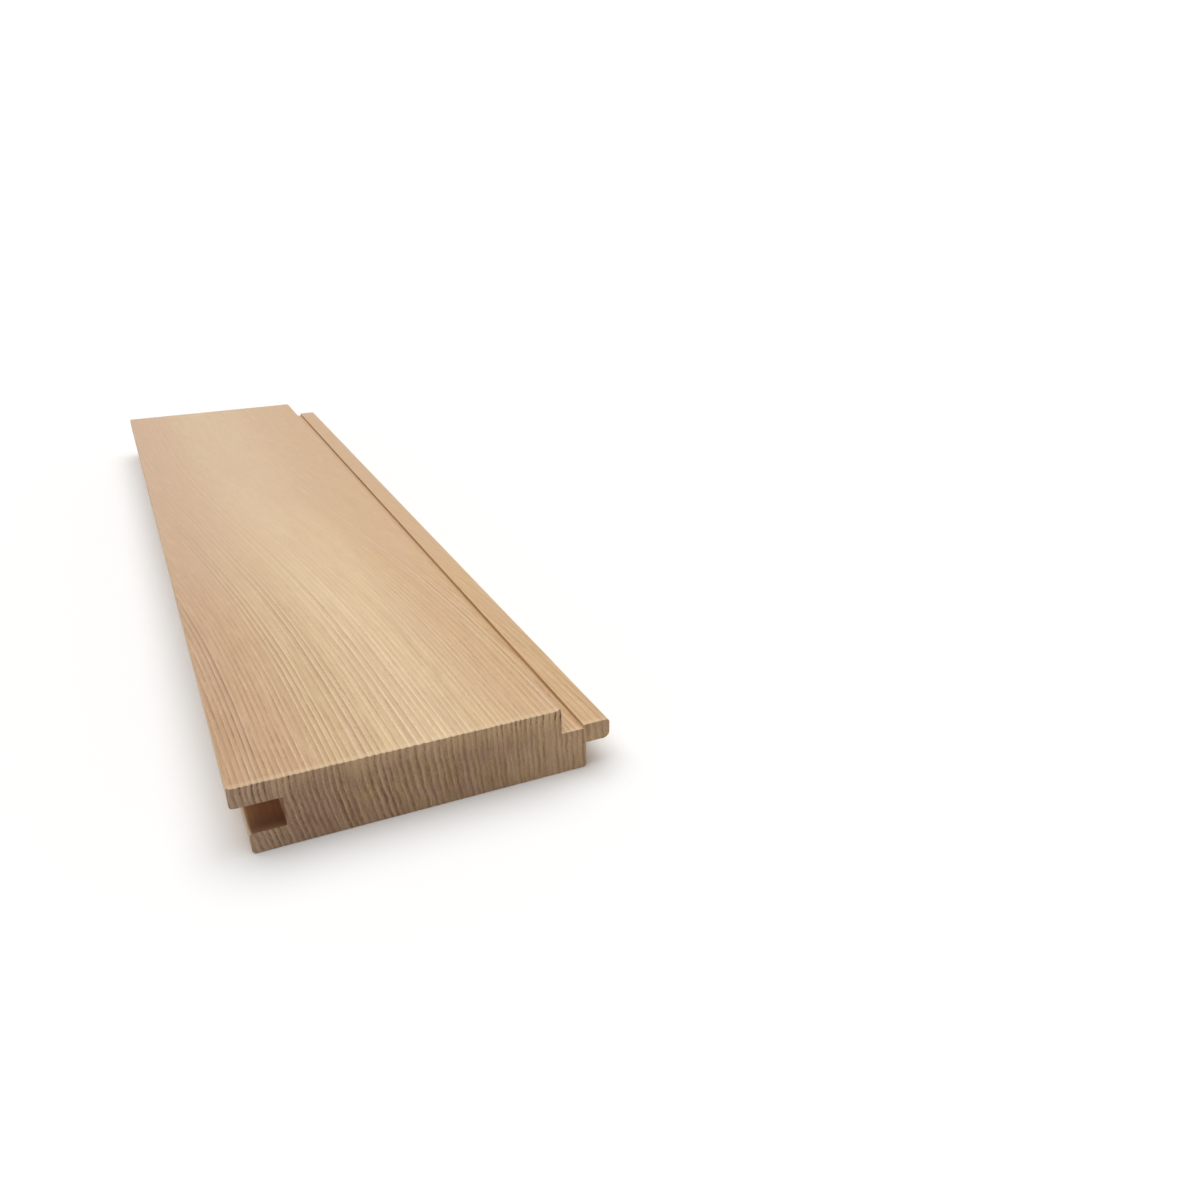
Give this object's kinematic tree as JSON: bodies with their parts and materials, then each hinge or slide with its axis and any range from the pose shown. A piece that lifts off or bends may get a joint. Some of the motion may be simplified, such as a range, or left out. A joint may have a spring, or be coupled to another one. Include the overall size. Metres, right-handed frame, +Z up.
{
  "type": "tongue and groove board",
  "caption": "Flat softwood board with a groove along one long edge and a tongue along the other, for lining walls or ceilings with a narrow gap between faces.",
  "frame": {"origin": "on the floor plane under the middle of the board's whole width, tongue included, and of its length", "axes": "+Z up, out of the board's face; +Y along its length; +X across it, from the groove to the tongue"},
  "size_m": [0.089, 0.3556, 0.0175],
  "materials": {
    "wood": "planed, uncoated, fine straight grain"
  },
  "bodies": {
    "root": {"board": "wood"}
  },
  "joints": []
}
